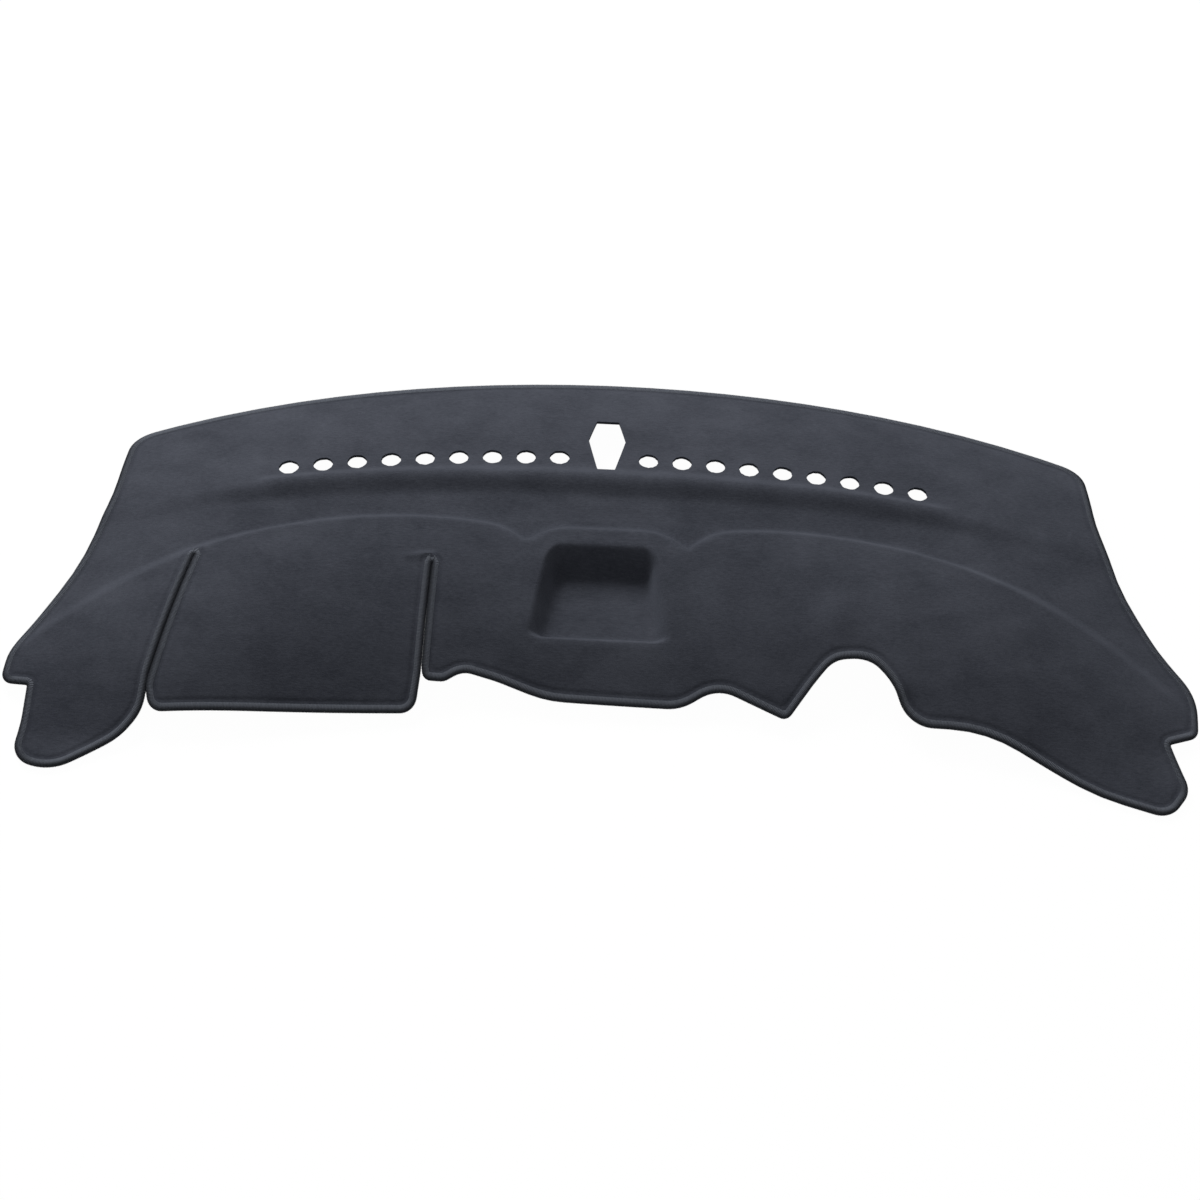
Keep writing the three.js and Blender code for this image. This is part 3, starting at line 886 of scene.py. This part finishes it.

# %% [markdown]
# ## Overlock yarn
# Bulky polyester yarn has a slight lustre. Each loop took the dye a little differently, and fine filaments
# run along it, so the colour varies by loop and a fine noise breaks it up. The yarn is lighter than the felt,
# partly from its own colour and partly as a painted highlight along the bead's crest. Its outer side is
# painted dark as shade.

# %% The yarn's finish
yarn_material, surface, wire = new_material(
    "charcoal_overlock_yarn", Specular_IOR_Level=0.25, Sheen_Weight=0.25, Sheen_Roughness=0.45,
    Sheen_Tint=(0.7, 0.8, 1.0, 1.0),
)
place = wire.node("TexCoord", output="Object")
filaments = place.noise((1500, 1500, 1500), 2.0)
per_loop = wire.node("Attribute", {"attribute_name": "yarn_tone"}, output="Fac")
outer = wire.node("Attribute", {"attribute_name": "outer_side_shade"}, output="Fac")
tone = 0.35 + per_loop * 0.3 + (filaments - 0.5) * 0.8
lit = tone.between((0.074, 0.081, 0.098), (0.150, 0.162, 0.190))
# Painted shade: the outer side of the bead and of each loop is mixed towards this dark colour.
painted_outer_shade = (0.012, 0.013, 0.016, 1)
colour = wire.node("Mix", {"data_type": "RGBA"}, {0: outer * 0.85, 6: lit, 7: painted_outer_shade}, output=2)
bump = wire.node("Bump", None, {"Strength": 1.0, "Distance": 1.0, "Height": filaments * 0.00018})
for wired, socket in ((colour, "Base Color"), (0.78 + filaments * 0.15, "Roughness"), (bump, "Normal")):
    wire.tree.links.new(wired.socket, surface.inputs[socket])
for piece in (bead, yarn):
    piece.data.materials.append(yarn_material)
print("Yarn nodes:", len(wire.tree.nodes))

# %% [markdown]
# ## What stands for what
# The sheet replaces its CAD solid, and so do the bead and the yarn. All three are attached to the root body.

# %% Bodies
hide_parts("mat")
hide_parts("edge_overlock")
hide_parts("edge_overlock")
for piece in (carpet, bead, yarn):
    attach(piece, "root")
print("Faces in all:", sum(len(o.data.polygons) for o in (carpet, bead, yarn)))

# %% [markdown]
# ## The studio
# The floor is plain and white to the camera. It keeps a faint share of its own shading, so the mat's soft
# shadow stays. The one lamp is large and stands behind the mat, high up and to the left, so the lips get
# light lines and the slopes that face the viewer get dark bands. The world adds a soft fill.

# %% Floor and world
floor_size = 14
floor_grey = 0.3
floor_glow = 1.09
white_share = 0.9
bpy.ops.mesh.primitive_plane_add(size=floor_size, location=(0, 0, 0))
floor = named("studio_floor")
floor_material = bpy.data.materials.new("studio_white")
floor_material.use_nodes = True
wire = Wire(floor_material.node_tree)
floor_surface = floor_material.node_tree.nodes["Principled BSDF"]
floor_surface.inputs["Base Color"].default_value = (floor_grey, floor_grey, floor_grey, 1)
floor_surface.inputs["Roughness"].default_value = 0.9
seen = wire.node("LightPath", output="Is Camera Ray") * white_share
glow = wire.node("Emission", None, {"Strength": floor_glow})
both = wire.node("MixShader", None, {0: seen, 1: Wire(wire.tree, floor_surface.outputs[0]), 2: glow})
wire.tree.links.new(both.socket, wire.tree.nodes["Material Output"].inputs["Surface"])
floor.data.materials.append(floor_material)

fill_strength = 0.3
world = bpy.data.worlds.new("studio_world")
bpy.context.scene.world = world
world.use_nodes = True
world.node_tree.nodes.clear()
wire = Wire(world.node_tree)
seen = wire.node("LightPath", output="Is Camera Ray")
soft = wire.node("Background", None, {"Color": (1, 1, 1, 1), "Strength": fill_strength})
white = wire.node("Background", None, {"Color": (1, 1, 1, 1), "Strength": 1.0})
both = wire.node("MixShader", None, {0: seen, 1: soft, 2: white})
wire.node("OutputWorld", None, {"Surface": both})
print("World fill:", fill_strength)

# %% Lamps
def soft_lamp(name, place, aim, size, power):
    bpy.ops.object.light_add(type="AREA", location=place)
    lamp = named(name)
    lamp.data.shape = "SQUARE"
    lamp.data.size = size
    lamp.data.energy = power
    lamp.rotation_euler = (Vector(aim) - Vector(place)).to_track_quat("-Z", "Y").to_euler()
    return lamp


soft_lamp("key_from_behind", place=(-1.25, 2.65, 2.35), aim=(0, 0, 0), size=1.5, power=114)

# %% [markdown]
# ## The camera
# The photograph looks down on the mat from the near side, from far enough away that the perspective is mild.
# The mat lies a little askew in the frame, and a small roll of the camera gives that.

# %% Camera
camera_elevation = math.radians(56)
camera_distance = 2.7
camera_roll = math.radians(2.6)
camera_aim = Vector((-0.00689, -0.0629, 0.04456))
toward_camera = Vector((0, -math.cos(camera_elevation), math.sin(camera_elevation)))
bpy.ops.object.camera_add(location=camera_aim + toward_camera * camera_distance)
camera = named("photo_camera")
camera.data.lens = 66
camera.data.sensor_width = 36
camera.rotation_mode = "QUATERNION"
camera.rotation_quaternion = (-toward_camera).to_track_quat("-Z", "Y") @ Quaternion((0, 0, 1), camera_roll)
bpy.context.scene.camera = camera
bpy.context.scene.view_settings.view_transform = "Standard"
print("Camera at", [round(v, 3) for v in camera.location])
